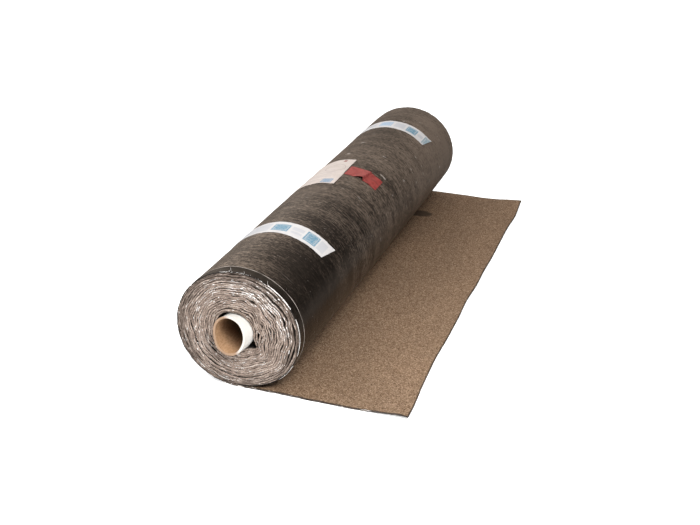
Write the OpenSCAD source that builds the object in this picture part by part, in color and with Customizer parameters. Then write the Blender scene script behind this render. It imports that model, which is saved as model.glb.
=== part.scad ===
// Roll of mineral roofing felt on a cardboard core.
// The roll lies on the floor with its axis along Y, and the loose end of the felt
// runs out flat along +X from under it. Millimetres, +Z up, floor at z = 0, and the
// origin on the floor under the middle of the whole part.

/* [Felt] */
// Width of the felt, which is the length of the roll
felt_w = 1000; // [500:10:1500]
// Diameter of the wound roll
roll_d = 200; // [120:1:300]
// Thickness of the felt
felt_t = 3; // [2:0.1:5]
// Space between one turn and the next, with the film that lies in it
turn_slack = 0.4; // [0.2:0.05:1.5]
// Depth of the grooves between the turns on the ends of the roll
groove_depth = 3; // [1:0.5:8]
// How far the edges of the turns stand in and out on the ends of the roll
edge_stagger = 1.2; // [0:0.1:3]
// Length of the loose end, from the line where the roll rests
tail_l = 270; // [150:5:1000]

/* [Core] */
// Outer diameter of the cardboard core
core_d = 60; // [40:1:90]
// Wall of the cardboard core
core_wall = 3.5; // [2:0.5:10]
// How far the core stands out at each end of the roll
core_out = 20; // [0:1:60]
// Clearance between the core and the innermost turn
core_gap = 0.3; // [0.2:0.05:2]

/* [Bands] */
// Width of the two closing bands
band_w = 50; // [20:1:100]
// Distance from the near end of the roll to the nearest edge of the near band
band_near_inset = 170; // [60:5:220]
// Distance from the far end of the roll to the nearest edge of the far band
band_far_inset = 128; // [60:1:220]
// Angle of the free ends of the bands, up from the horizontal on the tail side
band_from = 41; // [20:1:80]
// Angle at which the bands end low on the other side
band_to = 232; // [140:1:240]

/* [Label and tape] */
// Width of the paper label, along the roll
label_w = 150; // [60:5:250]
// Distance of the middle of the label from the middle of the roll
label_shift = 8; // [-60:1:60]
// Angle of the edge of the label on the tail side
label_from = 87; // [70:1:110]
// Angle of the other edge of the label
label_to = 150; // [120:1:200]
// Width of the red tape, along the roll
tape_w = 48; // [20:1:100]
// Distance of the middle of the tape from the middle of the roll
tape_shift = 18; // [-60:1:60]
// Angle of the end of the red tape on the tail side
tape_from = 49; // [30:1:65]

/* [Skins] */
// Thickness of the bands, the label and the tape
skin_t = 0.5; // [0.3:0.1:1.5]
// Clearance between the roll and what is stuck on it
skin_gap = 0.2; // [0.1:0.05:0.5]

/* [Hidden] */
$fn = 180;
roll_r = roll_d / 2;
core_r = core_d / 2;
bore_r = core_r + core_gap;
skin_r = roll_r + skin_gap;
turns = floor((roll_r - bore_r) / (felt_t + turn_slack));
pitch = (roll_r - bore_r) / turns;
// The roll stands left of the origin by half of what the loose end adds.
axis_x = (skin_r + skin_t - max(tail_l, roll_r)) / 2;
// The tape stops a hair short of the label.
tape_label_gap = 0.5;
tape_to = label_from - tape_label_gap;
// Golden-angle steps spread the turns in and out with no visible repeat.
stagger_step = 137.5;
cut_over = 1;

// How far the edge of turn i stands in from the end of the roll.
function edge_in(i) = edge_stagger * (1 - cos(i * stagger_step)) / 2;

// Outline of one end from the bore outwards: each turn has a flat edge and a groove outside it.
function end_outline(end, out) = [
    for (i = [0:turns - 1])
        let (r = bore_r + i * pitch, y = end - out * (i == turns - 1 ? 0 : edge_in(i)))
            for (p = i == turns - 1
                ? [[r, y], [roll_r, y]]
                : [[r, y], [r + felt_t, y], [r + (felt_t + pitch) / 2, end - out * groove_depth]])
                p
];

function reversed(list) = [for (i = [len(list) - 1:-1:0]) list[i]];

// Places children on the axis of the roll, with their own Z along the roll.
module on_roll_axis() {
    translate([axis_x, 0, roll_r]) rotate([90, 0, 0]) children();
}

// Stretch of a thin ring around the roll, from one angle to another, w wide and centred on y.
module skin(from, to, w, y) {
    on_roll_axis()
        rotate([0, 0, from])
            rotate_extrude(angle = to - from)
                translate([skin_r, -y - w / 2]) square([skin_t, w]);
}

module wound_turns() {
    on_roll_axis()
        rotate_extrude()
            polygon(concat(
                end_outline(felt_w / 2, 1),
                reversed(end_outline(-felt_w / 2, -1))
            ));
}

module tail() {
    translate([axis_x, -felt_w / 2, 0]) cube([tail_l, felt_w, felt_t]);
}

module felt() {
    color([0.33, 0.27, 0.22]) {
        wound_turns();
        tail();
    }
}

module core_tube() {
    length = felt_w + 2 * core_out;
    color([0.72, 0.56, 0.42])
        on_roll_axis()
            difference() {
                cylinder(h = length, r = core_r, center = true);
                cylinder(h = length + 2 * cut_over, r = core_r - core_wall, center = true);
            }
}

module band_near() {
    color([0.9, 0.9, 0.92])
        skin(band_from, band_to, band_w, -felt_w / 2 + band_near_inset + band_w / 2);
}

module band_far() {
    color([0.9, 0.9, 0.92])
        skin(band_from, band_to, band_w, felt_w / 2 - band_far_inset - band_w / 2);
}

module label() {
    color([0.9, 0.84, 0.82]) skin(label_from, label_to, label_w, label_shift);
}

module red_tape() {
    color([0.78, 0.12, 0.13]) skin(tape_from, tape_to, tape_w, tape_shift);
}

felt();
core_tube();
band_near();
band_far();
label();
red_tape();
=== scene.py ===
"""Roll of mineral roofing felt on a cardboard core: the looks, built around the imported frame.

One sheet of felt is wound in a real spiral round the core. Its cut edges show on both ends, its film side is
the outside of the roll, and its granule side is the top of the loose end. Every length is in metres."""
import math

import bmesh
import bpy
import numpy as np
from mathutils import Matrix, Vector


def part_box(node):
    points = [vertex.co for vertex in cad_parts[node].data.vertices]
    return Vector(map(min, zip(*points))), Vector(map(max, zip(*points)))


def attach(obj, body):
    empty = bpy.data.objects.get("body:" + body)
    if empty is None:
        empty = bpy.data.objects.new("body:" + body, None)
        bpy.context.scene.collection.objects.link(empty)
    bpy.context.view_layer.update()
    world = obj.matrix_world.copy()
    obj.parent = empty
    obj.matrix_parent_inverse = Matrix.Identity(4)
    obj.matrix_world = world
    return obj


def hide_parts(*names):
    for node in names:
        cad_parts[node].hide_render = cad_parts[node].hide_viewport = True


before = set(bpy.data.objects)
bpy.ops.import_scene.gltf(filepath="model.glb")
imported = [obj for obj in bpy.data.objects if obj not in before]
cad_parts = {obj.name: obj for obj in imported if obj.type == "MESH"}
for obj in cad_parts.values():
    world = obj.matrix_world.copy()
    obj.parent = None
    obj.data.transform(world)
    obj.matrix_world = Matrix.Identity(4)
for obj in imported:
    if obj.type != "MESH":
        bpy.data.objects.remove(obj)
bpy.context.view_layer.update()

# ---- sizes
MM = 0.001
FELT_LOW, FELT_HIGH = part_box("felt")
CORE_LOW, CORE_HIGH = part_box("core_tube")
NEAR_Y, FAR_Y = FELT_LOW.y, FELT_HIGH.y
ROLL_R = FELT_HIGH.z / 2
AXIS_X = FELT_LOW.x + ROLL_R
TAIL_L = FELT_HIGH.x - AXIS_X
CORE_R = (CORE_HIGH.x - CORE_LOW.x) / 2
CORE_WALL = 3.5 * MM
FELT_T = 3 * MM
# The roll sags a little under its own weight: wider than it is high.
HALF_WIDE = ROLL_R * 1.025
HALF_HIGH = ROLL_R * 0.981
AXIS_Z = HALF_HIGH
# Turns of the sheet, and steps to each turn in the mesh.
TURNS = 20
STEPS = 290
# How far in from each end the gaps between the turns go before the wound body is solid.
GAP_DEPTH = 14 * MM
# Bare strip along the near edge, where the film stops, and the thickness of the film.
SELVEDGE = 19 * MM
FILM_STEP = 0.3 * MM
FILM_EDGE = NEAR_Y + SELVEDGE

# ---- camera
CAMERA_PLACE = (AXIS_X + 0.6251, -1.9377, 0.8948)
CAMERA_YAW, CAMERA_PITCH, CAMERA_ROLL = 17.30, 23.43, 2.11
CAMERA_LENS, CAMERA_SENSOR = 58.35, 36.0


def turned(degrees, axis):
    return Matrix.Rotation(math.radians(degrees), 4, axis)


def make_camera():
    data = bpy.data.cameras.new("camera")
    data.lens = CAMERA_LENS
    data.sensor_width = CAMERA_SENSOR
    camera = bpy.data.objects.new("camera", data)
    bpy.context.scene.collection.objects.link(camera)
    look = turned(CAMERA_YAW, "Z") @ turned(90 - CAMERA_PITCH, "X") @ turned(CAMERA_ROLL, "Z")
    camera.matrix_world = Matrix.Translation(CAMERA_PLACE) @ look
    bpy.context.scene.camera = camera


# ---- smooth noise
def sines(rng, terms, count):
    """Noise of about 1 in size, from count sines. terms are pairs of a place and its cycles to each unit."""
    phase = rng.uniform(0, 2 * math.pi, count)
    size = rng.uniform(0.5, 1.0, count)
    total = sum(np.multiply.outer(np.asarray(x, float), cycles) for x, cycles in terms)
    return np.sin(2 * math.pi * total + phase) @ size / math.sqrt((size**2).sum() / 2)


def waves(seed, x, low, high, count=14):
    """Smooth noise along x, of low to high cycles to each unit of x."""
    rng = np.random.default_rng(seed)
    return sines(rng, [(x, rng.uniform(low, high, count))], count)


def ring_waves(seed, turn, low, high, count=12):
    """The same, but it closes on itself each time turn grows by 1."""
    rng = np.random.default_rng(seed)
    return sines(rng, [(turn, rng.integers(low, high + 1, count))], count)


def waves_2d(seed, x, y, reach_x, reach_y, count=18):
    """Smooth noise over a surface, with features of about reach_x by reach_y."""
    rng = np.random.default_rng(seed)
    angle = rng.uniform(0, 2 * math.pi, count)
    speed = rng.uniform(0.5, 1.0, count)
    x, y = np.broadcast_arrays(x, y)
    return sines(rng, [(x, np.cos(angle) * speed / reach_x), (y, np.sin(angle) * speed / reach_y)], count)


def smooth(x):
    """0 below 0, 1 above 1, and a smooth rise between."""
    x = np.clip(x, 0, 1)
    return x * x * (3 - 2 * x)


def hill(x, middle, reach):
    return np.exp(-(((x - middle) / reach) ** 2))


# ---- the core's shape
# Sections of the crushed near end of the core: place from the near face, centre off the axis, half sizes.
CORE_SECTIONS = (
    (-20 * MM, (-5.9 * MM, -1.0 * MM), (26.8 * MM, 33.6 * MM)),
    (0 * MM, (-4.0 * MM, -3.5 * MM), (29.0 * MM, 30.5 * MM)),
    (90 * MM, (0.0, 0.0), (CORE_R, CORE_R)),
)


def core_section(y):
    """Centre and half sizes of the core's outside at a place along the roll."""
    places = [place for place, _, _ in CORE_SECTIONS]
    values = np.array([[*centre, *half] for _, centre, half in CORE_SECTIONS])
    return [np.interp(y - NEAR_Y, places, values[:, k]) for k in range(4)]


def oval_reach(angle, section):
    """Distance from the roll's axis to an oval's outline in the direction of an angle."""
    centre_x, centre_z, half_x, half_z = section
    step_x, step_z = np.cos(angle) / half_x, np.sin(angle) / half_z
    off_x, off_z = centre_x / half_x, centre_z / half_z
    a = step_x**2 + step_z**2
    b = step_x * off_x + step_z * off_z
    return (b + np.sqrt(b * b - a * (off_x**2 + off_z**2 - 1))) / a


# ---- the wound spiral
# A place along the sheet is counted in turns from its inner end. It starts at the bottom of the bore and
# grows anticlockwise seen from the near end, so a whole number is always the bottom. After the last turn
# comes the loose end, flat on the floor.
LAST = TURNS * STEPS
ROUND = 2 * math.pi * ROLL_R
TAIL_COLUMNS = 68


def angle_at(turn):
    """Angle about the axis, in radians, from +X towards +Z."""
    return (np.asarray(turn) % 1.0) * 2 * math.pi - math.pi / 2


def turn_of(degrees):
    """Share of a turn at an angle given in degrees from +X towards +Z."""
    return ((np.asarray(degrees) + 90) % 360) / 360


def tail_lift(d, y):
    """Height of the loose end's underside over the floor: its corners and cut edge have come up a little."""
    free = smooth((d - 0.55 * TAIL_L) / (0.45 * TAIL_L))
    from_far, from_near = FAR_Y - y, y - NEAR_Y
    far_corner = 6 * MM * free**2 * smooth(1 - from_far / 0.10) ** 1.5
    near_corner = 2.5 * MM * free**2 * smooth(1 - from_near / 0.12)
    edge = 1.3 * MM * free**2 * (0.5 + 0.5 * waves(71, y, 1.5, 5))
    dents = 0.5 * MM * smooth(d / 0.1) * (0.6 + waves_2d(72, d, y, 0.12, 0.16))
    return np.clip(far_corner + near_corner + edge + dents, 0, None)


class Winding:
    """The sheet at one end of the roll: where each place along it lies, and how far in its cut edge is."""

    def __init__(self, seed, end_y, out, loose, bore_gaps, stagger):
        self.end_y, self.out = end_y, out
        self.wound = np.arange(LAST + 1) / STEPS
        part = np.arange(STEPS + 1) / STEPS
        raw = self.raw_gaps(seed, loose)
        table = np.stack([raw[k * STEPS : (k + 1) * STEPS + 1] for k in range(TURNS - 1)])
        slack = 0.7 * MM + 0.35 * MM * ring_waves(seed + 1, part, 2, 9)
        for degrees, reach, size in bore_gaps:
            slack = slack + size * hill(part, turn_of(degrees), reach / 360)
        a = angle_at(part)
        bore = oval_reach(a, core_section(end_y)) + slack
        outside = 1 / np.hypot(np.cos(a) / HALF_WIDE, np.sin(a) / HALF_HIGH)
        # One step from turn to turn, alike at the bottom of the bore and of the outside, closes the spiral.
        step = FELT_T + (outside[0] - bore[0] - (TURNS + 1) * FELT_T) / (table[:, 0].sum() + 1)
        bore = bore + step * part
        last = outside - step * (1 - smooth(part / 0.17))
        gaps = table * (last - bore - TURNS * FELT_T) / table.sum(0)
        inner = bore + np.concatenate([np.zeros((1, STEPS + 1)), np.cumsum(FELT_T + gaps, 0)])
        self.inner = np.append(inner[:, :-1].ravel(), inner[-1, -1]) + self.shared_waves(seed + 2)
        above = np.append(gaps[:, :-1].ravel(), gaps[-1, -1])
        self.foot = MM * (1.7 + 11 * smooth((above / MM - 0.25) / 1.3))
        self.length = np.append(0, np.cumsum(self.inner[1:])) * 2 * math.pi / STEPS
        self.distance = np.linspace(0, TAIL_L, TAIL_COLUMNS + 1)[1:]
        self.turn = np.concatenate([self.wound, TURNS + self.distance / ROUND])
        self.edge = self.ragged_edge(seed + 3, stagger)

    def raw_gaps(self, seed, loose):
        s = self.wound
        calm = np.clip(np.minimum(s, TURNS - 1 - s) / 0.5, 0, 1)
        gap = np.exp(calm * (0.85 * waves(seed, s, 1.2, 5) + 0.6 * waves(seed + 10, s, 5, 15) - 0.3))
        for turn, degrees, reach, size in loose:
            gap = gap + 1.6 * calm * size * hill(s, turn + turn_of(degrees), reach / 360)
        return np.clip(gap, 0.05, 7)

    def shared_waves(self, seed):
        """Waves that neighbouring turns share, none at the bore or on the outside."""
        share = self.wound / TURNS
        calm = np.sin(math.pi * share) ** 1.2
        inward = ring_waves(seed, self.wound, 2, 9) * np.cos(share * 5)
        outward = ring_waves(seed + 1, self.wound, 3, 14) * np.sin(share * 7)
        return calm * 0.5 * MM * (inward + outward)

    def ragged_edge(self, seed, stagger):
        """How far in from the end plane the cut edge stands along the sheet."""
        s = self.turn
        rough = 0.75 * waves(seed, s, 0.3, 2.5) + 0.3 * waves(seed + 1, s, 6, 20)
        calm = 1 - 0.6 * smooth((s - TURNS + 1.2) / 0.2)
        return stagger * calm * (rough + 0.22 * waves(seed + 2, s, 35, 120, 40))

    def points(self, across, depth):
        """Points on the sheet at a distance across it, from its granule side, and a depth in from the end."""
        across, depth = np.broadcast_arrays(across, depth)
        y = self.end_y - self.out * depth
        wound, free = slice(0, LAST + 1), slice(LAST + 1, None)
        spiral = around(self.wound, self.inner + across[..., wound], y[..., wound])
        return np.concatenate([spiral, on_tail(self.distance, across[..., free], y[..., free])], -2)


def around(turn, radius, y):
    """Points from a place in turns, a distance from the axis and a place along it."""
    radius, y, a = np.broadcast_arrays(radius, y, angle_at(turn))
    return np.stack([AXIS_X + radius * np.cos(a), y, AXIS_Z + radius * np.sin(a)], -1)


def on_tail(distance, across, y):
    """Points on the loose end, at a distance past the roll and across the sheet from its granule side."""
    distance, across, y = np.broadcast_arrays(distance, across, y)
    longer = 8 * MM * smooth((NEAR_Y + 0.2 - y) / 0.2) * (distance / TAIL_L) ** 3
    uneven = 0.6 * MM * waves(73, y, 2, 9) * (distance / TAIL_L) ** 8
    return np.stack([AXIS_X + distance + longer + uneven, y, tail_lift(distance, y) + FELT_T - across], -1)


# Places where the near end has opened up between turns: turn, angle, reach in degrees, times the usual gap.
LOOSE_NEAR = (
    (1, -8, 14, 4.0),
    (1, 128, 26, 1.6),
    (4, 150, 30, 1.8),
    (7, 170, 24, 1.4),
    (9, 20, 30, 1.2),
    (12, 205, 26, 1.6),
    (14, 112, 24, 1.8),
    (15, 35, 26, 1.8),
    (16, -35, 30, 2.0),
    (17, -20, 34, 1.8),
    (17, 60, 30, 1.5),
    (18, 95, 36, 1.3),
    (18, -45, 20, 1.7),
    # Below 0: turns pressed close together.
    *[(turn, 50, 50, -0.5) for turn in range(3, 10)],
    *[(turn, 215, 40, -0.4) for turn in range(4, 9)],
    *[(turn, 300, 60, -0.4) for turn in range(3, 9)],
)
LOOSE_FAR = ((3, 60, 20, 2.0), (9, 200, 30, 1.6), (15, 300, 30, 2.0), (17, 80, 30, 2.0))
# Where the bore stands away from the core: angle, reach in degrees, how far.
GAPS_NEAR = ((-38, 13, 10.0 * MM), (146, 26, 3.2 * MM))

near_wind = Winding(11, NEAR_Y, -1, LOOSE_NEAR, GAPS_NEAR, 1.1 * MM)
far_wind = Winding(47, FAR_Y, 1, LOOSE_FAR, (), 0.9 * MM)


def skin_radius(part, y):
    """Radius of the film side of the last turn, at a share of the turn and a place along the roll."""
    share = smooth((y - NEAR_Y) / (FAR_Y - NEAR_Y))
    steps = np.arange(STEPS + 1) / STEPS
    near = np.interp(part, steps, near_wind.inner[-STEPS - 1 :]) + FELT_T
    far = np.interp(part, steps, far_wind.inner[-STEPS - 1 :]) + FELT_T
    calm = smooth(part / 0.08) * smooth((1 - part) / 0.08)
    arc = part * ROUND
    lumps = 0.35 * MM * waves_2d(5, arc, y, 0.12, 0.25) + 0.1 * MM * waves_2d(6, arc, y, 0.03, 0.018, 26)
    film = FILM_STEP * smooth((y - FILM_EDGE) / (0.6 * MM) + 0.5)
    return near * (1 - share) + far * share + calm * (lumps + film)


def on_skin(degrees, y, lift=0.0):
    """Points over the roll's outside at an angle in degrees, lifted off it."""
    part = turn_of(degrees)
    return around(part, skin_radius(part, y) + lift, y)


# ---- mesh building
# Edges between faces that meet at more than this many degrees stay sharp.
SHARP = 38


class Shape:
    """Collects points and faces. Each corner has a place in metres for the looks, and one on the map."""

    def __init__(self):
        self.points, self.faces, self.places, self.maps, self.kinds = [], [], [], [], []
        self.size = 0

    def add(self, points):
        """Adds points of any grid shape and returns their numbers in the same shape."""
        points = np.asarray(points, float)
        numbers = np.arange(self.size, self.size + points[..., 0].size).reshape(points.shape[:-1])
        self.points.append(points.reshape(-1, 3))
        self.size += numbers.size
        return numbers

    def quads(self, grid, places, spots=None, kind=0):
        """Faces between the rows and columns of a grid of point numbers."""
        low, high = slice(None, -1), slice(1, None)
        corners = [(low, low), (high, low), (high, high), (low, high)]
        spots = places if spots is None else spots
        self.faces.append(np.stack([grid[c].ravel() for c in corners], -1))
        self.places.append(np.stack([places[c].reshape(-1, 2) for c in corners], 1))
        self.maps.append(np.stack([spots[c].reshape(-1, 2) for c in corners], 1))
        self.kinds.append(np.full(len(self.faces[-1]), kind))

    def face(self, ring, spot, kind=0):
        """One face with many corners, all of them at one spot of the map."""
        self.faces.append(np.asarray(ring)[None])
        self.places.append(np.zeros((1, len(ring), 2)))
        turn = np.linspace(0, 2 * math.pi, len(ring), endpoint=False)
        self.maps.append((np.array(spot) + 0.004 * np.stack([np.cos(turn), np.sin(turn)], -1))[None])
        self.kinds.append(np.array([kind]))

    def build(self, name, materials, mapped=False):
        mesh = bpy.data.meshes.new(name)
        mesh.from_pydata(np.concatenate(self.points), [], [f for block in self.faces for f in block.tolist()])
        self.add_map(mesh, "sheet", self.places)
        if mapped:
            self.add_map(mesh, "OFBake", self.maps)
        mesh.polygons.foreach_set("material_index", np.concatenate(self.kinds))
        work = bmesh.new()
        work.from_mesh(mesh)
        bmesh.ops.recalc_face_normals(work, faces=work.faces)
        work.to_mesh(mesh)
        work.free()
        mesh.polygons.foreach_set("use_smooth", np.ones(len(mesh.polygons), bool))
        mesh.set_sharp_from_angle(angle=math.radians(SHARP))
        for material in materials:
            mesh.materials.append(material)
        piece = bpy.data.objects.new(name, mesh)
        bpy.context.scene.collection.objects.link(piece)
        return piece

    def add_map(self, mesh, name, corners):
        layer = mesh.uv_layers.new(name=name)
        layer.uv.foreach_set("vector", np.concatenate([c.reshape(-1, 2) for c in corners]).ravel())


def pairs(u, v):
    """u and v, spread over each other, as one array of pairs."""
    u, v = np.broadcast_arrays(u, v)
    return np.stack([u, v], -1)


def fit_in(places, low, high):
    """places scaled to fill a box of the map from low to high."""
    flat = places.reshape(-1, 2)
    least, most = flat.min(0), flat.max(0)
    return low + (places - least) / np.maximum(most - least, 1e-9) * (np.array(high) - low)


def finished(piece, node):
    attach(piece, "root")
    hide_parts(node)


# ---- the felt
FILM, EDGE, GRANULES = 0, 1, 2


def end_profile(wind, seed, rows):
    """Distance across the sheet and depth in from the end plane of each row of the cut edge, by column. The
    first row is the foot of the gap under the sheet, and the last is the foot of the gap over it."""
    s = wind.turn
    rng = np.random.default_rng(seed)
    under, over = np.full(len(s), GAP_DEPTH), np.full(len(s), GAP_DEPTH)
    over[: len(wind.foot)] = under[STEPS : LAST + 1] = wind.foot
    across, depth = [np.zeros(len(s))], [under]
    for k, share in enumerate(np.linspace(0.03, 0.97, rows)):
        sway = (rng.normal(0, 0.05, len(s)) + 0.05 * waves(seed + k, s, 8, 30)) * (s <= TURNS)
        across.append(FELT_T * np.clip(share + sway, 0.01, 0.99))
        rough = rng.normal(0, 0.22 * MM, len(s)) + 0.25 * MM * waves(seed + 20 + k, s, 10, 40, 24)
        depth.append(wind.edge - 0.45 * MM * math.sin(math.pi * share) + rough)
    across.append(np.full(len(s), FELT_T))
    depth.append(over)
    return np.stack(across), np.stack(depth)


near_profile = end_profile(near_wind, 301, 4)
far_profile = end_profile(far_wind, 401, 2)
ENDS = ((near_wind, near_profile), (far_wind, far_profile))
# Places along the roll of the rings between the two ends: close together at the film's edge.
RINGS = np.concatenate([
    FILM_EDGE + np.array([-2.5, -0.6, -0.2, 0.2, 0.6, 2.5]) * MM,
    np.linspace(FILM_EDGE + 12 * MM, FAR_Y - 26 * MM, 74),
])
RING_ENDS = np.concatenate([[NEAR_Y, NEAR_Y + GAP_DEPTH], RINGS, [FAR_Y - GAP_DEPTH, FAR_Y]])


def end_map(wind, rows, middle, radius):
    """The end face on the map: a disc in which each turn's edge and gap walls have a share of its width."""
    pitch = np.append(wind.inner[STEPS:] - wind.inner[:-STEPS], np.full(STEPS, 1.1 * FELT_T))
    shares = np.concatenate([[0], np.linspace(0.12, 0.84, rows), [0.96]])[:, None]
    a = angle_at(wind.wound)
    r = (wind.inner + shares * pitch) * radius / (1.04 * HALF_WIDE)
    return middle + np.stack([r * np.cos(a), r * np.sin(a)], -1)


def end_faces(shape, wind, grid, middle, radius):
    """One end of the roll: gap walls, cut edges and gap bottoms, for all turns but the last one's skin."""
    rows = len(grid) - 2
    v = np.concatenate([[-GAP_DEPTH], np.linspace(0, FELT_T, rows), [FELT_T + GAP_DEPTH]])[:, None]
    places, spots = pairs(wind.length, v), end_map(wind, rows, middle, radius)
    inside = slice(0, LAST - STEPS + 1)
    shape.quads(grid[:-1], places[:-1], spots[:-1], EDGE)
    shape.quads(grid[-2:, inside], places[-2:, inside], spots[-2:, inside], EDGE)
    bottom = np.stack([grid[-1, inside], grid[0, STEPS:]])
    bottom_spots = np.stack([spots[-1, inside], spots[0, STEPS:]])
    shape.quads(bottom, places[:2, inside], bottom_spots, EDGE)


def make_felt_roll(materials):
    """The wound body, closed: cut edges on both ends, the film side outside and the bore inside."""
    shape = Shape()
    ends = []
    for (wind, profile), middle in zip(ENDS, ((0.19, 0.81), (0.56, 0.81))):
        grid = shape.add(wind.points(*profile)[:, : LAST + 1])
        end_faces(shape, wind, grid, middle, 0.185)
        ends.append(grid)
    near, far = ends
    part = np.arange(STEPS + 1) / STEPS
    arc = part * ROUND
    outer = shape.add(around(part, skin_radius(part[None], RINGS[:, None]), RINGS[:, None]))
    last = slice(LAST - STEPS, None)
    skin = np.concatenate([near[-2:, last], outer, far[:-3:-1, last]])
    places = pairs(arc, RING_ENDS[:, None])
    shape.quads(skin, places, fit_in(places, (0.005, 0.005), (0.995, 0.6)), FILM)
    # The bore, from one end to the other.
    along = np.linspace(0, 1, 12)[1:-1, None]
    easing = smooth(along * 3)
    radius = near_wind.inner[: STEPS + 1] * (1 - easing) + far_wind.inner[: STEPS + 1] * easing
    wall = shape.add(around(part, radius, NEAR_Y + GAP_DEPTH + along * (FAR_Y - NEAR_Y - 2 * GAP_DEPTH)))
    bore = np.concatenate([near[:1, : STEPS + 1], wall, far[:1, : STEPS + 1]])
    places = pairs(arc * 0.3, np.linspace(NEAR_Y, FAR_Y, len(bore))[:, None])
    shape.quads(bore, places, fit_in(places, (0.77, 0.63), (0.93, 0.99)), GRANULES)
    close_roll(shape, near, far, skin, bore)
    finished(shape.build("felt_roll", materials, mapped=True), "felt")


def close_roll(shape, near, far, skin, bore):
    """The steps at the bottom, where the sheet starts in the bore and where it leaves the roll."""
    start = [*bore[:, 0], far[-1, 0], *bore[::-1, -1], near[-1, 0]]
    shape.face(start, (0.96, 0.65), EDGE)
    leaving = [*skin[1:-1, 0], far[0, -1], *skin[1:-1, -1][::-1], near[0, -1]]
    shape.face(leaving, (0.96, 0.70), FILM)
    for spot, ends in (((0.96, 0.75), near), ((0.96, 0.80), far)):
        shape.face(ends[:, 0], spot, EDGE)
        shape.face(ends[:, -1], (spot[0], spot[1] + 0.1), EDGE)


def make_felt_tail(materials):
    """The loose end, closed: granules on top, film underneath, cut edges round it."""
    shape = Shape()
    free = slice(LAST, None)
    near, far = [shape.add(wind.points(*profile)[:, free]) for wind, profile in ENDS]
    d = np.concatenate([[0], near_wind.distance])
    arc = TURNS * ROUND + d
    y = RINGS[:, None]
    top = shape.add(on_tail(d, 0.0, y))
    under = shape.add(on_tail(d, FELT_T, y))
    upper = np.concatenate([near[:1], top, far[:1]])
    lower = np.concatenate([near[-1:], under, far[-1:]])
    places = pairs(arc, RING_ENDS[1:-1, None])
    shape.quads(upper, places, fit_in(places, (0.005, 0.03), (0.6, 0.97)), GRANULES)
    shape.quads(lower, places, fit_in(places, (0.62, 0.03), (0.9, 0.97)), FILM)
    ends = ((near, NEAR_Y, 1, (0.005, 0.003), (0.9, 0.026)), (far, FAR_Y, -1, (0.005, 0.974), (0.9, 0.997)))
    for grid, edge_y, inward, low, high in ends:
        v = edge_y + inward * np.array([GAP_DEPTH, *np.linspace(0, -FELT_T, len(grid) - 2), GAP_DEPTH])
        places = pairs(arc, v[:, None])
        spots = fit_in(places, low, high)
        shape.quads(grid[:2], places[:2], spots[:2], GRANULES)
        shape.quads(grid[1:-1], places[1:-1], spots[1:-1], EDGE)
        shape.quads(grid[-2:], places[-2:], spots[-2:], FILM)
    for column, u in ((0, 0.97), (-1, 0.93)):
        wall = np.stack([upper[:, column], lower[:, column]], 1)
        places = pairs(np.array([0, FELT_T]), RING_ENDS[1:-1, None])
        shape.quads(wall, places, fit_in(places, (u, 0.03), (u + 0.02, 0.97)), EDGE)
        for grid, v in ((near, 0.01), (far, 0.985)):
            shape.face(grid[:, column], (u, v), EDGE)
    finished(shape.build("felt_tail", materials, mapped=True), "felt")


# ---- shreds of film on the near end
def ribbon(shape, path, width):
    """A thin strip of film along a path, width being the vector across it at each point."""
    grid = shape.add(np.stack([path - width / 2, path + width / 2], 1))
    shape.quads(grid, pairs(np.array([0.0, 1.0]), np.linspace(0, 1, len(path))[:, None]))


def torn_shred(shape, wind, column, rng):
    """A short bent shred at a column of the sheet."""
    length = rng.uniform(1.5, 4.0) * MM * (2.0 if rng.random() < 0.2 else 1)
    span = length / (wind.inner[column] * 2 * math.pi)
    t = np.linspace(-0.5, 0.5, 4)
    height = wind.inner[column] + FELT_T * rng.uniform(0.6, 1.0) + length * rng.normal(0, 0.12) * t
    out = wind.edge[column] - rng.uniform(0.8, 1.5) * MM - length * rng.uniform(0, 0.4) * (t + 0.5) ** 2
    path = around(wind.wound[column] + span * t, height, wind.end_y - wind.out * out)
    lean = np.array([rng.normal(), rng.normal() * 0.7, rng.normal()])
    width = rng.uniform(0.5, 1.4) * MM * lean / np.linalg.norm(lean)
    ribbon(shape, path, width * np.array([0.7, 1.0, 1.0, 0.4])[:, None])


def torn_strip(shape, wind, column, rng):
    """A long thin strip of film that follows the turn, on the side of the sheet's cut edge that faces out."""
    columns = np.arange(column, min(column + rng.integers(6, 22), LAST + 1))
    share = np.linspace(0, 1, len(columns))
    height = wind.inner[columns] + FELT_T * (0.9 + rng.normal(0, 0.08, len(columns)))
    out = wind.edge[columns] - rng.uniform(0.1, 0.5) * MM + rng.normal(0, 0.15 * MM, len(columns))
    path = around(wind.wound[columns], height, wind.end_y - wind.out * out)
    a = angle_at(wind.wound[columns])
    outward = np.stack([np.cos(a), np.full(len(a), -0.8 * wind.out * rng.uniform(-1, 1)), np.sin(a)], -1)
    width = rng.uniform(0.3, 0.7) * MM * np.sin(math.pi * np.clip(share, 0.06, 0.94))
    ribbon(shape, path, width[:, None] * outward)


def make_shreds(wind, name, count, seed, favoured, material):
    """Small bent shreds of film that stand out of the cut edges, mostly in the favoured places."""
    rng = np.random.default_rng(seed)
    shape = Shape()
    made = 0
    while made < count:
        column = int(rng.integers(STEPS, LAST))
        turn = wind.wound[column]
        degrees = math.degrees(angle_at(turn))
        chance = 0.04
        for angle, reach, ring, width, weight in favoured:
            off = (degrees - angle + 180) % 360 - 180
            chance += 0.4 * weight * math.exp(-((off / reach) ** 2) - ((turn - ring) / width) ** 2)
        if rng.random() > chance:
            continue
        made += 1
        if rng.random() < 0.3:
            torn_strip(shape, wind, column, rng)
        else:
            torn_shred(shape, wind, column, rng)
    finished(shape.build(name, [material]), "felt")


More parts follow.
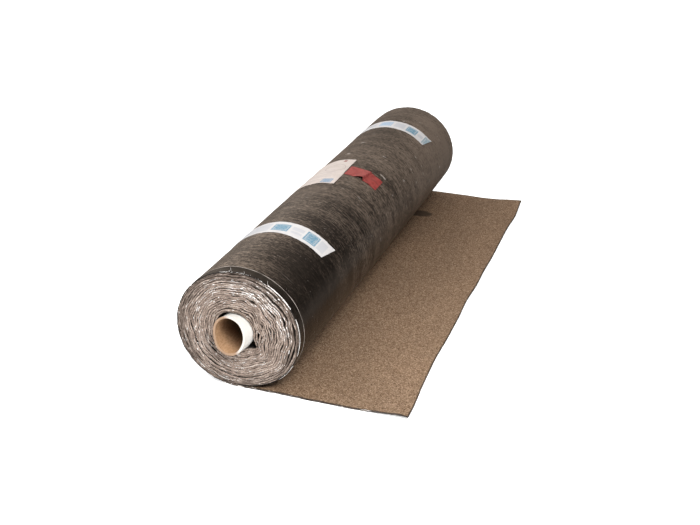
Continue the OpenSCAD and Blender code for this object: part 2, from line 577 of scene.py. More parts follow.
def make_film_lip(material):
    """The film's torn lip, folded in over the last turn's cut edge: widest at the upper right."""
    shape = Shape()
    # Start and end in degrees, widest reach in mm, and the seed of its waves.
    for start, end, widest, seed in ((-46, -24, 0.35, 1), (-14, 22, 0.3, 2), (31, 60, 0.8, 4)):
        degrees = np.arange(start, end, 0.8)
        taper = np.sqrt(np.clip(np.sin(math.pi * (degrees - start) / (end - start)), 0, 1))
        reach = widest * np.clip(1 + 0.4 * waves(seed, degrees / 360, 6, 30), 0.2, None) * MM * taper
        radius = skin_radius(turn_of(degrees), NEAR_Y)
        y = NEAR_Y - 0.5 * MM + np.interp(turn_of(degrees) + TURNS - 1, near_wind.turn, near_wind.edge)
        root = (radius + 0.3 * MM, y + 0.3 * MM)
        fold = (radius - 0.5 * reach, y - 0.8 * MM)
        rows = [root, fold, (radius - reach, y - 0.5 * MM)]
        grid = shape.add(np.stack([around(turn_of(degrees), r, at) for r, at in rows]))
        shape.quads(grid, pairs(degrees / 90, np.linspace(0, 1, len(rows))[:, None]))
    finished(shape.build("film_lip", [material]), "felt")


def make_tufts(material):
    """A few glass fibres that stick out of the top edge of the near end."""
    rng = np.random.default_rng(21)
    shape = Shape()
    for degrees in (58, 71, 78, 84, 96):
        for _ in range(rng.integers(2, 5)):
            angle = degrees + rng.normal(0, 1.2)
            start = on_skin(angle, NEAR_Y + rng.uniform(0, 2) * MM, -1 * MM)
            away = np.array([rng.normal(0, 0.5), -rng.uniform(0.2, 1.0), rng.uniform(0.3, 1.0)])
            bend = rng.normal(0, 0.35, 3)
            t = np.linspace(0, 1, 5)[:, None]
            path = start + rng.uniform(2, 5.5) * MM * (away * t + bend * t * t)
            ribbon(shape, path, 0.35 * MM * (1 - 0.7 * t) * np.array([1.0, 0.3, 0.0]))
    finished(shape.build("edge_fibres", [material]), "felt")


# ---- core
PAPER, BOARD = 0, 1


def make_core(materials):
    """The cardboard tube, white paper outside and board inside. Its near end is crushed and off the axis."""
    shape = Shape()
    a = np.linspace(0, 2 * math.pi, 145)
    y = np.concatenate([
        np.linspace(CORE_LOW.y, NEAR_Y + 90 * MM, 23),
        np.linspace(NEAR_Y + 130 * MM, CORE_HIGH.y, 16),
    ])
    rng = np.random.default_rng(31)
    fray = 0.35 * MM * ring_waves(32, a / (2 * math.pi), 2, 9)
    dents = 0.5 * MM * ring_waves(33, a / (2 * math.pi), 2, 5)
    rows = []
    mouth, rear = y[0], y[-1]
    outside = [(0.0, at) for at in y]
    inward = [(CORE_WALL, at) for at in y[::-1]]
    rim = [(share * CORE_WALL, mouth - 0.25 * MM * math.sin(math.pi * share)) for share in (0.8, 0.5, 0.2)]
    back = [(share * CORE_WALL, rear + 0.2 * MM * math.sin(math.pi * share)) for share in (0.2, 0.5, 0.8)]
    profile = outside + back + inward + rim
    for depth, at in profile:
        centre_x, centre_z, half_x, half_z = core_section(at)
        dent = dents * smooth((NEAR_Y + 60 * MM - at) / (80 * MM))
        x = AXIS_X + centre_x + (half_x - depth + dent) * np.cos(a)
        z = AXIS_Z + centre_z + (half_z - depth + dent) * np.sin(a)
        fuzz = rng.normal(0, 0.05 * MM, len(a)) * (at <= mouth)
        edge = fray * smooth((mouth + 3 * MM - at) / (3 * MM)) + fuzz
        rows.append(np.stack([x, at + edge, z], -1)[:-1])
    grid = shape.add(np.stack(rows))
    grid = np.concatenate([grid, grid[:, :1]], 1)
    grid = np.concatenate([grid, grid[:1]])
    along = np.array([at for _, at in profile] + [mouth])[:, None]
    places = pairs(a * CORE_R, along)
    count = len(y)
    # The outside, the far rim, the inside and the near rim: first and last row, material, and box on the map.
    spans = (
        (0, count, PAPER, (0.01, 0.01), (0.47, 0.9)),
        (count - 1, count + 4, BOARD, (0.01, 0.92), (0.47, 0.95)),
        (count + 3, 2 * count + 3, BOARD, (0.5, 0.01), (0.97, 0.9)),
        (2 * count + 2, None, BOARD, (0.5, 0.92), (0.97, 0.99)),
    )
    for start, end, kind, low, high in spans:
        block = places[start:end]
        spots = pairs(block[..., 0], np.arange(len(block))[:, None])
        shape.quads(grid[start:end], block, fit_in(spots, low, high), kind)
    finished(shape.build("cardboard_core", materials, mapped=True), "core_tube")


# ---- bands, label and tape
# The angle where the bands end, low on the left. At a band's cut end, the far corner lies this many degrees
# lower than the near one.
BAND_END, BAND_SLANT = 232, 5.0
LABEL_FROM, LABEL_TO = 88, 150
TAPE_FROM, TAPE_CREASE, TAPE_TO = 48, 64.2, 87


def strip_grid(start, end, columns, rows):
    """Angles along a strip, and shares across it from its near edge. They spread over each other."""
    return np.linspace(start, end, columns)[None], np.linspace(0, 1, rows)[:, None]


def draped(name, degrees, y, lift, thickness, material):
    """A thin closed strip over the roll's outside. degrees and y are grids, lift its height off the film."""
    shape = Shape()
    top = shape.add(on_skin(degrees, y, lift + thickness))
    under = shape.add(on_skin(degrees, y, lift - 0.1 * MM))
    places = pairs(np.radians(degrees) * ROLL_R, y)
    shape.quads(top, places)
    shape.quads(under, places)
    for edge in ((0, slice(None)), (-1, slice(None)), (slice(None), 0), (slice(None), -1)):
        wall = np.stack([top[edge], under[edge]])
        shape.quads(wall, np.stack([places[edge], places[edge]]))
    return shape.build(name, [material])


def make_band(node, free_end, material, seed):
    """A paper band over the top of the roll and down its left side. free_end is the angle of its cut end."""
    low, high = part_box(node)
    degrees, across = strip_grid(free_end, BAND_END, 110, 13)
    sway = 0.8 * MM * waves(seed, degrees / 360, 1, 4) * smooth((degrees - free_end) / 40)
    y = low.y + across * (high.y - low.y) + sway + 0.25 * MM * waves(seed + 1, degrees / 360, 20, 60)
    skew = -BAND_SLANT * (across - 0.5) * (1 - smooth((degrees - free_end) / 30))
    curl = 1.6 * MM * (1 - smooth((degrees - free_end) / 7)) ** 2 * (0.4 + 0.6 * across)
    ripple = 0.12 * MM * (1 + waves_2d(seed + 2, degrees / 57, across, 0.5, 0.6))
    piece = draped("paper_" + node, degrees + skew, y, 0.15 * MM + curl + ripple, 0.3 * MM, material)
    finished(piece, node)


def make_label(material):
    low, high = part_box("label")
    degrees, across = strip_grid(LABEL_FROM, LABEL_TO, 60, 40)
    y = low.y + across * (high.y - low.y) + 0 * degrees
    lean = 2.2 * (across - 0.5) * (1 - smooth((degrees - LABEL_FROM) / 40))
    ripple = 0.22 * MM * (1.1 + waves_2d(82, degrees / 57, across * 2.5, 0.35, 0.5))
    curl = 0.9 * MM * (1 - smooth((degrees - LABEL_FROM) / 5)) * (0.5 + 0.5 * np.cos(across * 9))
    piece = draped("paper_label", degrees + lean, y, 0.2 * MM + ripple + curl, 0.25 * MM, material)
    finished(piece, "label")


def skin_arc(degrees):
    """Place round the roll's skin, in metres, at an angle in degrees."""
    return float(turn_of(degrees)) * ROUND


def make_tape(material):
    """The red tape that holds the label's edge down. Its left half bulges, with a crease at the step."""
    low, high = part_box("red_tape")
    degrees, across = strip_grid(TAPE_FROM, TAPE_TO, 70, 26)
    y = low.y + across * (high.y - low.y) + 0.6 * MM * waves(91, degrees / 360, 3, 12)
    crease = TAPE_CREASE - 2.3 * (across - 0.5)
    past = smooth((degrees - crease) / 1.6)
    bulge = 7.0 * MM * past * (1 - smooth((degrees - crease) / 13)) * (1 - 0.6 * across)
    wrinkles = 0.15 * MM * (1 + waves_2d(92, degrees / 57, across, 0.12, 0.5))
    piece = draped("red_tape_strip", degrees, y, 0.6 * MM + bulge + wrinkles, 0.25 * MM, material)
    finished(piece, "red_tape")


# ---- material nodes
class Value:
    """A number, colour or place worked out by nodes. The usual arithmetic on it adds more nodes."""

    def __init__(self, nodes, socket):
        self.nodes, self.socket = nodes, socket

    def math(self, operation, *others):
        return self.nodes.math(operation, self, *others)

    def __add__(self, other):
        return self.math("ADD", other)

    def __sub__(self, other):
        return self.math("SUBTRACT", other)

    def __rsub__(self, other):
        return self.nodes.math("SUBTRACT", other, self)

    def __mul__(self, other):
        return self.math("MULTIPLY", other)

    def __truediv__(self, other):
        return self.math("DIVIDE", other)

    def __abs__(self):
        return self.math("ABSOLUTE")

    def most(self, other):
        """The larger of this and another."""
        return self.math("MAXIMUM", other)

    def step(self, low, high):
        """0 where this is below low, 1 above high, smooth between. low may be the bigger."""
        flip = low > high
        ends = {"From_Min": min(low, high), "From_Max": max(low, high)}
        ends.update(To_Min=float(flip), To_Max=float(not flip))
        return self.nodes.add("MapRange", "Result", {"interpolation_type": "SMOOTHSTEP"}, Value=self, **ends)


class Nodes:
    """Short ways to add nodes to a tree. Outputs come back as Values."""

    def __init__(self, tree):
        self.tree = tree

    def fill(self, socket, value):
        """Links a Value to a socket, or writes a constant there. A colour of three parts gets its fourth."""
        if isinstance(value, Value):
            self.tree.links.new(value.socket, socket)
        elif socket.type == "RGBA":
            socket.default_value = (*value, 1.0)
        else:
            socket.default_value = value

    def put(self, node, inputs):
        for name, value in inputs.items():
            self.fill(node.inputs[name], value)

    def fresh(self, kind, output, settings, inputs):
        node = self.tree.nodes.new("ShaderNode" + kind)
        for name, value in settings.items():
            setattr(node, name, value)
        self.put(node, inputs)
        return Value(self, node.outputs[output])

    def add(self, kind, output, settings=None, **inputs):
        return self.fresh(kind, output, settings or {}, spaced(inputs))

    def math(self, operation, *values):
        return self.fresh("Math", 0, {"operation": operation}, dict(enumerate(values)))

    def mix(self, share, a, b, blend="MIX"):
        """a where share is 0, b where it is 1. The numbers are the node's sockets for colours."""
        return self.fresh("Mix", 2, {"data_type": "RGBA", "blend_type": blend}, {0: share, 6: a, 7: b})

    def place(self, name=None):
        """Place on the sheet in metres, or place in the frame in metres if no map is named."""
        if name is None:
            return self.add("TexCoord", "Object")
        return self.add("UVMap", "UV", {"uv_map": name})

    def stretched(self, place, x, y, z=1.0):
        return self.add("Mapping", "Vector", Vector=place, Scale=(x, y, z))

    def noise(self, place, scale, detail=3.0, rough=0.55, bend=0.0):
        """Noise with scale features to each unit of place. scale may differ by direction, as a tuple."""
        if isinstance(scale, tuple):
            place, scale = self.stretched(place, *scale), 1.0
        texture = {"Scale": scale, "Detail": detail, "Roughness": rough, "Distortion": bend}
        return self.add("TexNoise", "Fac", Vector=place, **texture)

    def cells(self, place, scale):
        """Distance to the middle of the nearest cell, and that cell's random colour."""
        distance = self.add("TexVoronoi", "Distance", {"voronoi_dimensions": "2D"}, Vector=place, Scale=scale)
        return distance, Value(self, distance.socket.node.outputs["Color"])

    def parts(self, place):
        first = self.add("SeparateXYZ", "X", Vector=place)
        return [Value(self, socket) for socket in first.socket.node.outputs]

    def ramp(self, value, *stops):
        """Colour along a ramp. stops are pairs of a place from 0 to 1 and a colour."""
        colour = self.add("ValToRGB", "Color", Fac=value)
        band = colour.socket.node.color_ramp
        while len(band.elements) < len(stops):
            band.elements.new(0.5)
        for element, (place, shade) in zip(band.elements, stops):
            element.position = place
            element.color = (*shade, 1.0)
        return colour

    def bump(self, height, distance, strength=1.0, under=None):
        """Normal of a relief, on top of another one if under is given."""
        below = {} if under is None else {"Normal": under}
        return self.add("Bump", "Normal", Height=height, Distance=distance, Strength=strength, **below)


class Look(Nodes):
    """A material with a Principled shader."""

    def __init__(self, name, **inputs):
        self.material = bpy.data.materials.new(name)
        self.material.use_nodes = True
        super().__init__(self.material.node_tree)
        self.finish(**inputs)

    def finish(self, **inputs):
        """Fills the shader's inputs and gives back the material."""
        self.put(self.tree.nodes["Principled BSDF"], spaced(inputs))
        return self.material


def spaced(inputs):
    """Socket names as Blender writes them, with spaces."""
    return {name.replace("_", " "): value for name, value in inputs.items()}


def from_middle(x, y):
    return (x * x + y * y).math("SQRT")


BITUMEN = (0.004, 0.003, 0.0025)


def film_look():
    """Black bitumen under thin dusty film, with streaks round the roll."""
    look = Look("bitumen_film", IOR=1.5, Specular_IOR_Level=0.17, Specular_Tint=(1.0, 0.82, 0.66))
    place = look.place("sheet")
    around_roll, along, _ = look.parts(place)
    broad = look.noise(place, (5, 26), 5, 0.6)
    streaks = look.noise(place, (30, 260), 6, 0.66, 0.5)
    fine = look.noise(place, (90, 600), 3, 0.6, 0.4)
    mottle = look.noise(place, 190, 4, 0.65)
    haze = streaks * 0.55 + broad * 0.45 + (fine - 0.5) * 0.8 + (mottle - 0.5) * 0.5
    # Painted shade: less haze, and nearer bare bitumen, on the near end's right side, which faces away from
    # the light. More dust towards the far end. Painted sheen: more haze on the left side, where the film
    # catches the light.
    sideways = (around_roll / ROLL_R).math("SINE")
    clear = along.step(0.05, -0.42) * sideways.step(-0.3, 0.75)
    haze = haze - clear * 0.048
    farther = along.step(-0.35, 0.4)
    haze = haze + (farther * 0.012 + (0.508 - haze) * (farther * 0.45))
    dusty = along.step(0.0, 0.45) * sideways.step(-0.1, 0.8)
    # Far right: more dust. Left side: painted sheen, lighter where the film catches the light.
    haze = haze + dusty * 0.1 + sideways.step(-0.35, -0.95) * 0.045
    dust = look.ramp(haze, (0.40, BITUMEN), (0.5, (0.046, 0.035, 0.027)), (0.61, (0.145, 0.112, 0.088)))
    bare = look.ramp(haze, (0.35, (0.003, 0.0025, 0.002)), (0.65, (0.018, 0.014, 0.011)))
    filmed = along.step(FILM_EDGE - 0.4 * MM, FILM_EDGE + 0.4 * MM)
    # Where the near right's painted shade is strongest, the colour goes to bare bitumen.
    colour = look.mix(filmed, bare, look.mix(clear * 0.88, dust, BITUMEN))
    colour = look.mix(film_marks(look, place, along), colour, (0.40, 0.36, 0.33))
    # Painted shade along the fold that runs on from the tape's crease.
    colour = look.mix(tape_fold_shade(look, place), colour, (0.004, 0.003, 0.003))
    rough = streaks * 0.3 + (along.step(-0.3, 0.2) * 0.26 + 0.08)
    wrinkles = look.noise(place, (30, 120), 3, 0.55, 0.6)
    normal = look.bump(wrinkles, 0.9 * MM, 0.5, look.bump(fine, 0.12 * MM, 0.5))
    return look.finish(Base_Color=colour, Roughness=rough, Normal=normal)


def film_marks(look, place, along):
    """Share of pale marks in the film: its edge, partly a painted highlight, short arcs beyond it, specks,
    and scuffs farther on.
    """
    shifted = look.noise(place, (9, 0.01), 2) * (3 * MM) + along
    arcs = look.noise(place, (7, 60), 1).step(0.56, 0.66)
    # The film's edge: pale torn film, brightened as a painted highlight where the lifted edge catches the
    # light.
    lines = abs(along - FILM_EDGE).step(0.7 * MM, 0.2 * MM)
    for offset in (29 * MM, 37 * MM, 52 * MM):
        lines = lines.most(abs(shifted - (NEAR_Y + offset)).step(0.9 * MM, 0.2 * MM) * arcs)
    breaks = look.noise(place, (40, 2), 3).step(0.3, 0.6)
    lines = lines * (breaks * 0.55 + 0.2)
    distance, _ = look.cells(look.stretched(place, 1, 1.6), 85)
    specks = distance.step(0.09, 0.04) * look.noise(place, 30, 2).step(0.6, 0.7) * 0.6
    scuff = look.noise(place, (34, 50), 5, 0.62).step(0.645, 0.70) * (along.step(-0.3, 0.1) * 0.7)
    return lines.most(specks).most(scuff)


def tape_fold_shade(look, place):
    """Share of painted shade along a fold in the film that runs on from the red tape's crease towards the far
    end.
    """
    x, y, _ = look.parts(place)
    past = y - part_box("red_tape")[1].y
    skewed = past * 0.32 + (x - skin_arc(TAPE_CREASE))
    length = past.step(-2 * MM, 0.0) * past.step(46 * MM, 30 * MM)
    return abs(skewed).step(1.2 * MM, 0.4 * MM) * length * 0.85


def edge_look():
    """The wound cut edges: greyish-brown, streaked along each turn, with painted shade down in the gaps."""
    look = Look("felt_cut_edge", Roughness=0.75, Specular_IOR_Level=0.3)
    sheet, place = look.place("sheet"), look.place()
    length, across, _ = look.parts(sheet)
    along = look.noise(sheet, (70, 260), 3, 0.6)
    slow = look.noise(sheet, (9, 60), 2, 0.6)
    speckle = look.noise(place, 520, 4, 0.7)
    patches = look.noise(place, 38, 3, 0.6)
    blend = (along + speckle) * 0.34 + (slow + patches) * 0.16
    colour = look.ramp(
        blend,
        (0.37, (0.080, 0.058, 0.046)),
        (0.45, (0.235, 0.180, 0.149)),
        (0.53, (0.375, 0.298, 0.252)),
        (0.62, (0.680, 0.590, 0.530)),
    )
    # Painted shade: darker down in the gaps between turns, near black farther in, more in some gaps than in
    # others.
    ragged = abs(across - FELT_T / 2) - look.noise(place, 300, 3) * (1.4 * MM)
    gap = ragged.step(0.35 * MM, 1.25 * MM)
    gap_shade_strength = look.noise(place, 26, 3).step(0.4, 0.6) * 0.55 + 0.27
    colour = look.mix(gap * gap_shade_strength, colour, (0.030, 0.023, 0.019))
    colour = look.mix(ragged.step(1.8 * MM, 5.5 * MM), colour, (0.007, 0.006, 0.005))
    # The outer turns are darker, in streaks.
    last = near_wind.length[-1]
    outer = length.step(last - 5.2 * ROUND, last - 3.2 * ROUND)
    colour = look.mix(outer * (along.step(0.60, 0.42) * 0.45 + 0.22), colour, (0.070, 0.052, 0.042))
    # The black film side shows as a thin line round the outermost turn.
    by_film = across.step(FELT_T - 2.2 * MM, FELT_T - 1.4 * MM)
    outermost = length.step(last - 1.02 * ROUND, last - ROUND)
    colour = look.mix(outermost * by_film, colour, (0.012, 0.010, 0.009))
    return look.finish(Base_Color=colour, Normal=look.bump(blend, 2.2 * MM, 0.8))


def tail_edge_look():
    """The loose end's cut edges: dark bitumen, with pale torn film here and there, most of it by the roll."""
    look = Look("tail_cut_edge", Roughness=0.6, Specular_IOR_Level=0.3)
    place = look.place()
    dust = look.noise(place, 300, 3, 0.6)
    flecks = look.noise(place, (60, 60, 400), 3, 0.6)
    colour = look.ramp(dust, (0.35, (0.018, 0.014, 0.012)), (0.65, (0.085, 0.064, 0.050)))
    by_roll = look.parts(place)[0].step(AXIS_X + 50 * MM, AXIS_X + 10 * MM)
    colour = look.mix((by_roll * 0.10 + flecks).step(0.57, 0.66), colour, (0.62, 0.58, 0.54))
    return look.finish(Base_Color=colour, Normal=look.bump(dust, 1.0 * MM, 0.6))


def granule_look():
    """Brown mineral granules pressed into the top of the sheet."""
    look = Look("mineral_granules", Roughness=0.85, Specular_IOR_Level=0.15)
    place = look.place("sheet")
    distance, grains = look.cells(place, 820)
    _, clumps = look.cells(place, 330)
    colour = look.ramp(
        look.parts(grains)[0] * 0.86 + look.parts(clumps)[1] * 0.14,
        (0.08, (0.082, 0.049, 0.028)),
        (0.35, (0.168, 0.107, 0.066)),
        (0.62, (0.245, 0.161, 0.102)),
        (0.92, (0.370, 0.266, 0.182)),
    )
    patches = look.noise(place, (9, 5), 4, 0.6)
    patches = look.ramp(patches, (0.35, (0.90, 0.90, 0.90)), (0.65, (1.0, 0.99, 0.98)))
    # Painted shade: darker towards the far end, which lies in less light.
    farther = look.parts(place)[1].step(NEAR_Y, FAR_Y)
    farther = look.ramp(farther, (0.0, (1.0, 1.0, 1.0)), (1.0, (0.84, 0.82, 0.80)))
    for shade in (patches, farther):
        colour = look.mix(1.0, colour, shade, "MULTIPLY")
    colour = look.mix(tail_marks(look, place), colour, (0.045, 0.030, 0.020))
    return look.finish(Base_Color=colour, Normal=look.bump(1.0 - distance, 0.5 * MM, 0.8))


def tail_marks(look, place):
    """Share of dark bitumen along the cut edges and in a small oval spot near the far edge, and of painted
    shade in the bore.
    """
    past, along, _ = look.parts(place)
    wander = look.noise(place, 60, 3)
    sway = (wander - 0.5) * (2.4 * MM)
    rim = (along - NEAR_Y - sway).step(1.8 * MM, 0.6 * MM)
    rim = rim.most((sway - along + FAR_Y).step(1.8 * MM, 0.6 * MM))
    rim = rim.most((sway + (TURNS * ROUND + TAIL_L - past)).step(2.2 * MM, 0.8 * MM))
    spot_x = (past - (TURNS * ROUND + 72 * MM)) / (30 * MM)
    spot_y = (along - 346 * MM) / (21 * MM)
    spot = (wander * 0.5 + from_middle(spot_x, spot_y)).step(1.3, 0.9)
    # Painted shade: the bore, down inside the roll, is dark.
    bore = past.step(ROUND, 0.5 * ROUND)
    return rim.most(bore.most(spot) * 0.9)


def shred_look():
    """Torn clear film: pale and shiny."""
    look = Look("torn_film", Roughness=0.3, IOR=1.5)
    tone = look.noise(look.place(), 400, 2)
    return look.finish(Base_Color=look.ramp(tone, (0.35, (0.62, 0.59, 0.57)), (0.6, (0.95, 0.94, 0.93))))


def paper_look(name, colour, shade):
    """Plain paper with faint fibres and soft patches: the look so far, and its colour to print on."""
    look = Look(name, Roughness=0.62, Specular_IOR_Level=0.35)
    place = look.place()
    fibres = look.noise(place, 700, 4, 0.6)
    look.finish(Normal=look.bump(fibres, 0.15 * MM, 0.4))
    return look, look.ramp(fibres * 0.4 + look.noise(place, 40, 3) * 0.6, (0.35, shade), (0.6, colour))


def core_paper_look():
    look, colour = paper_look("core_white_paper", (0.75, 0.745, 0.72), (0.67, 0.66, 0.63))
    return look.finish(Base_Color=colour)


def board_look():
    """Brown cardboard with the spiral seams of a wound tube, with painted shade that darkens it inwards."""
    look = Look("core_board", Roughness=0.8, Specular_IOR_Level=0.25)
    arc, along, _ = look.parts(look.place("sheet"))
    # Metres along the tube for each metre round it.
    climb = 0.55
    wound = ((arc * climb + along) / (climb * 2 * math.pi * CORE_R)).math("FRACT")
    seam = abs(wound - 0.5).step(0.012, 0.004)
    fibres = look.noise(look.place(), (500, 160, 500), 4, 0.6)
    colour = look.ramp(
        fibres,
        (0.3, (0.29, 0.170, 0.090)),
        (0.55, (0.42, 0.262, 0.150)),
        (0.75, (0.50, 0.335, 0.205)),
    )
    colour = look.mix(seam * 0.5, colour, (0.22, 0.13, 0.07))
    # Painted shade: darker farther inside the tube, where less light reaches.
    inner_shade = along.step(CORE_LOW.y + 5 * MM, CORE_LOW.y + 90 * MM)
    colour = look.mix(inner_shade * 0.72, colour, (0.07, 0.042, 0.024))
    # The rim: a little paler than the board, and white where the paper is folded over it on the right.
    mouth = along.step(CORE_LOW.y + 1.5 * MM, CORE_LOW.y)
    side, _, height = look.parts(look.place())
    fold = AXIS_X + 0.3 * AXIS_Z
    folded = (height * 0.3 + side).step(fold - 6 * MM, fold + 6 * MM)
    rim = look.mix(folded, (0.37, 0.250, 0.170), (0.74, 0.71, 0.67))
    colour = look.mix(mouth * 0.9, colour, rim)
    return look.finish(Base_Color=colour, Normal=look.bump(fibres * 0.3 - seam, 0.3 * MM, 0.5))


# ---- generic print
BLOCK_BLUE = (0.058, 0.195, 0.295)
FADED_BLUE = (0.26, 0.38, 0.52)
DARK_BLUE = (0.18, 0.27, 0.32)
PALE_GREY = (0.37, 0.39, 0.43)
# Softness of the ink's edges, and width of the pale line inside a block.
INK_EDGE = 0.4 * MM
BLOCK_LINE = 2.6 * MM


def box_share(look, place, u, v):
    """1 inside a box of the sheet from u[0] to u[1] by v[0] to v[1], 0 outside."""
    share = 1.0
    for value, (low, high) in zip(look.parts(place), (u, v)):
        inside = value.step(low - INK_EDGE, low + INK_EDGE) * value.step(high + INK_EDGE, high - INK_EDGE)
        share = inside * share
    return share


def plain_block(look, place, u, v):
    """Share of ink in a plain worn block, with one thin pale line just inside its outline."""
    inner, core = [
        box_share(look, place, (u[0] + inset, u[1] - inset), (v[0] + inset, v[1] - inset))
        for inset in (BLOCK_LINE, 1.5 * BLOCK_LINE)
    ]
    worn = look.noise(place, 260, 4, 0.7).step(0.4, 0.6) * -0.42 + 1.0
    return (box_share(look, place, u, v) - (inner - core) * 0.5) * worn


def arcs_of(*degrees):
    """Places round the roll in metres, as on the map of the bands, the label and the tape."""
    return [math.radians(each) * ROLL_R for each in degrees]


def band_look(node, blocks, faint):
    """White paper band with generic print: plain blocks as (start, end, half width, colour), and pale bars
    as (start, end, offset, half width). Starts and ends are in degrees."""
    low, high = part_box(node)
    middle = (low.y + high.y) / 2
    look, colour = paper_look(node + "_paper", (0.56, 0.55, 0.55), (0.48, 0.47, 0.475))
    place = look.place("sheet")
    for start, end, half, tint in blocks:
        block = plain_block(look, place, arcs_of(start, end), (middle - half, middle + half))
        colour = look.mix(block, colour, tint)
    for start, end, offset, half in faint:
        bar = box_share(look, place, arcs_of(start, end), (middle + offset - half, middle + offset + half))
        colour = look.mix(bar * 0.55, colour, PALE_GREY)
    return look.finish(Base_Color=colour)


def label_look():
    """Pinkish-white label: faint bars, a faint thin ring, a small blue-grey block and a dark red mark."""
    low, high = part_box("label")
    look, colour = paper_look("label_paper", (0.535, 0.475, 0.44), (0.45, 0.395, 0.36))
    place = look.place("sheet")
    for row, (start, end) in enumerate(((100, 128), (98, 122), (100, 131), (99, 118), (102, 126))):
        y = low.y + (24 + 15 * row) * MM
        bar = box_share(look, place, arcs_of(start, end), (y, y + 4 * MM))
        colour = look.mix(bar * 0.4, colour, (0.33, 0.30, 0.32))
    x, y, _ = look.parts(place)
    middle = (low.y + high.y) / 2 + 22 * MM
    radius = from_middle(x - arcs_of(104)[0], y - middle)
    ring = abs(radius - 20 * MM).step(1.0 * MM, 0.4 * MM)
    colour = look.mix(ring * 0.6, colour, (0.28, 0.22, 0.22))
    block = plain_block(look, place, arcs_of(92, 104), (low.y + 4 * MM, low.y + 28 * MM))
    colour = look.mix(block, colour, (0.16, 0.26, 0.38))
    mark = box_share(look, place, arcs_of(98, 101.5), (high.y - 17 * MM, high.y - 5 * MM))
    return look.finish(Base_Color=look.mix(mark * 0.8, colour, (0.22, 0.06, 0.055)))


def tape_look():
    """Red plastic tape, worn, and a little duller right of its crease."""
    look = Look("red_tape_film", Roughness=0.5, Specular_IOR_Level=0.3)
    place = look.place("sheet")
    worn = look.noise(place, 120, 4, 0.6)
    bright = look.ramp(worn, (0.35, (0.20, 0.032, 0.029)), (0.6, (0.28, 0.050, 0.045)))
    dull = look.ramp(worn, (0.35, (0.19, 0.025, 0.022)), (0.6, (0.28, 0.040, 0.035)))
    crease = arcs_of(TAPE_CREASE)[0]
    colour = look.mix(look.parts(place)[0].step(crease - 2 * MM, crease + 2 * MM), dull, bright)
    return look.finish(Base_Color=colour, Normal=look.bump(look.noise(place, (60, 150), 3), 0.6 * MM, 0.4))


# ---- studio
def make_floor():
    """A white floor. Mirrored in the shiny film it looks darker, as a dark room round it would."""
    mesh = bpy.data.meshes.new("floor")
    reach = 60
    corners = [(-reach, -reach, 0), (reach, -reach, 0), (reach, reach, 0), (-reach, reach, 0)]
    mesh.from_pydata(corners, [], [(0, 1, 2, 3)])
    floor = bpy.data.objects.new("floor", mesh)
    floor.location.z = -0.2 * MM
    bpy.context.scene.collection.objects.link(floor)
    look = Look("studio_floor", Roughness=0.9, Specular_IOR_Level=0.0, Emission_Color=(1, 1, 1))
    mirrored = look.add("LightPath", "Is Glossy Ray")
    colour = look.mix(mirrored, (0.80, 0.80, 0.80), (0.24, 0.205, 0.178))
    glow = look.add("LightPath", "Is Camera Ray") * 0.6
    mesh.materials.append(look.finish(Base_Color=colour, Emission_Strength=glow))


def area_light(name, place, size, power, colour=(1, 1, 1)):
    data = bpy.data.lights.new(name, "AREA")
    data.shape = "RECTANGLE"
    data.size, data.size_y = size
    data.energy = power
    data.color = colour
    light = bpy.data.objects.new(name, data)
    light.location = place
    aim = Vector((0, 0, 0.08)) - Vector(place)
    light.rotation_euler = aim.to_track_quat("-Z", "Y").to_euler()
    bpy.context.scene.collection.objects.link(light)


def make_studio():
    make_floor()
    make_world()
    area_light("key_left", (-2.2, 0.2, 2.4), (2.0, 1.6), 34)
    area_light("fill_front", (0.6, -1.2, 1.1), (0.7, 0.5), 25, (1.0, 0.97, 0.94))
    bpy.context.scene.view_settings.view_transform = "Standard"


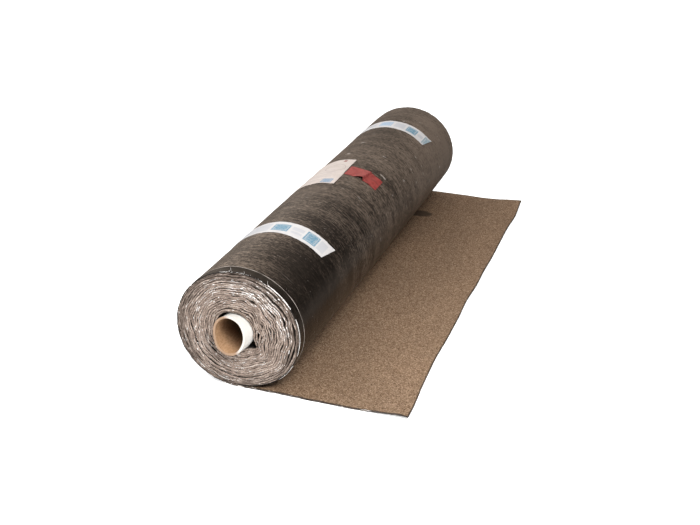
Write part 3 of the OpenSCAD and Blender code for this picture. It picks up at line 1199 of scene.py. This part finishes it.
def make_world():
    """Soft surroundings: bright on the upper left, dim on the right, warm where the film mirrors them. Seen
    straight on, they are white."""
    world = bpy.data.worlds.new("studio")
    world.use_nodes = True
    nodes = Nodes(world.node_tree)
    brightest = Vector((-0.62, -0.05, 0.78)).normalized()
    ends = {0: nodes.add("TexCoord", "Generated"), 1: brightest}
    side = nodes.fresh("VectorMath", "Value", {"operation": "DOT_PRODUCT"}, ends)
    shade = side.step(-0.35, 0.95) * 1.05 + 0.10
    strength = nodes.add("LightPath", "Is Camera Ray").most(shade)
    tint = nodes.mix(nodes.add("LightPath", "Is Glossy Ray"), (1, 1, 1), (1.0, 0.86, 0.74))
    nodes.put(world.node_tree.nodes["Background"], {"Color": tint, "Strength": strength})
    bpy.context.scene.world = world


# ---- the whole roll
# Where shreds crowd: angle, reach in degrees, turn, reach in turns, how much.
CROWDED_NEAR = (
    (40, 26, 13.3, 2.2, 1.9),
    (75, 24, 12, 1.8, 1.4),
    (12, 16, 14, 2.0, 0.9),
    (130, 35, 11, 3, 0.4),
    (262, 16, 8, 1.6, 1.2),
    (50, 26, 17.5, 1.5, 1.0),
    (330, 20, 16, 2, 0.3),
    (200, 9, 11.5, 1, 0.9),
)
CROWDED_FAR = ((90, 90, 12, 5, 0.4),)
NEAR_BLOCKS = ((84.5, 101, 14 * MM, BLOCK_BLUE), (53.5, 67.5, 17 * MM, BLOCK_BLUE))
FAR_BLOCKS = ((58, 72, 16 * MM, BLOCK_BLUE), (91, 107, 15 * MM, FADED_BLUE), (36, 47.5, 21 * MM, DARK_BLUE))
NEAR_BARS = (
    (70, 82, 6 * MM, 6 * MM),
    (70, 81, -9 * MM, 4 * MM),
    (43.5, 52, 0, 16 * MM),
    (104, 150, 0, 18 * MM),
)
FAR_BARS = ((75, 88, 0, 14 * MM), (111, 150, 0, 12 * MM), (49, 56, 0, 8 * MM))


def build():
    film, edge, granules = film_look(), edge_look(), granule_look()
    make_felt_roll([film, edge, granules])
    make_felt_tail([film, tail_edge_look(), granules])
    shred = shred_look()
    make_shreds(near_wind, "near_film_shreds", 540, 61, CROWDED_NEAR, shred)
    make_shreds(far_wind, "far_film_shreds", 90, 62, CROWDED_FAR, shred)
    make_film_lip(shred)
    make_tufts(shred)
    make_core([core_paper_look(), board_look()])
    make_band("band_near", 39.5, band_look("band_near", NEAR_BLOCKS, NEAR_BARS), 101)
    make_band("band_far", 41, band_look("band_far", FAR_BLOCKS, FAR_BARS), 111)
    make_label(label_look())
    make_tape(tape_look())


build()
make_studio()
make_camera()
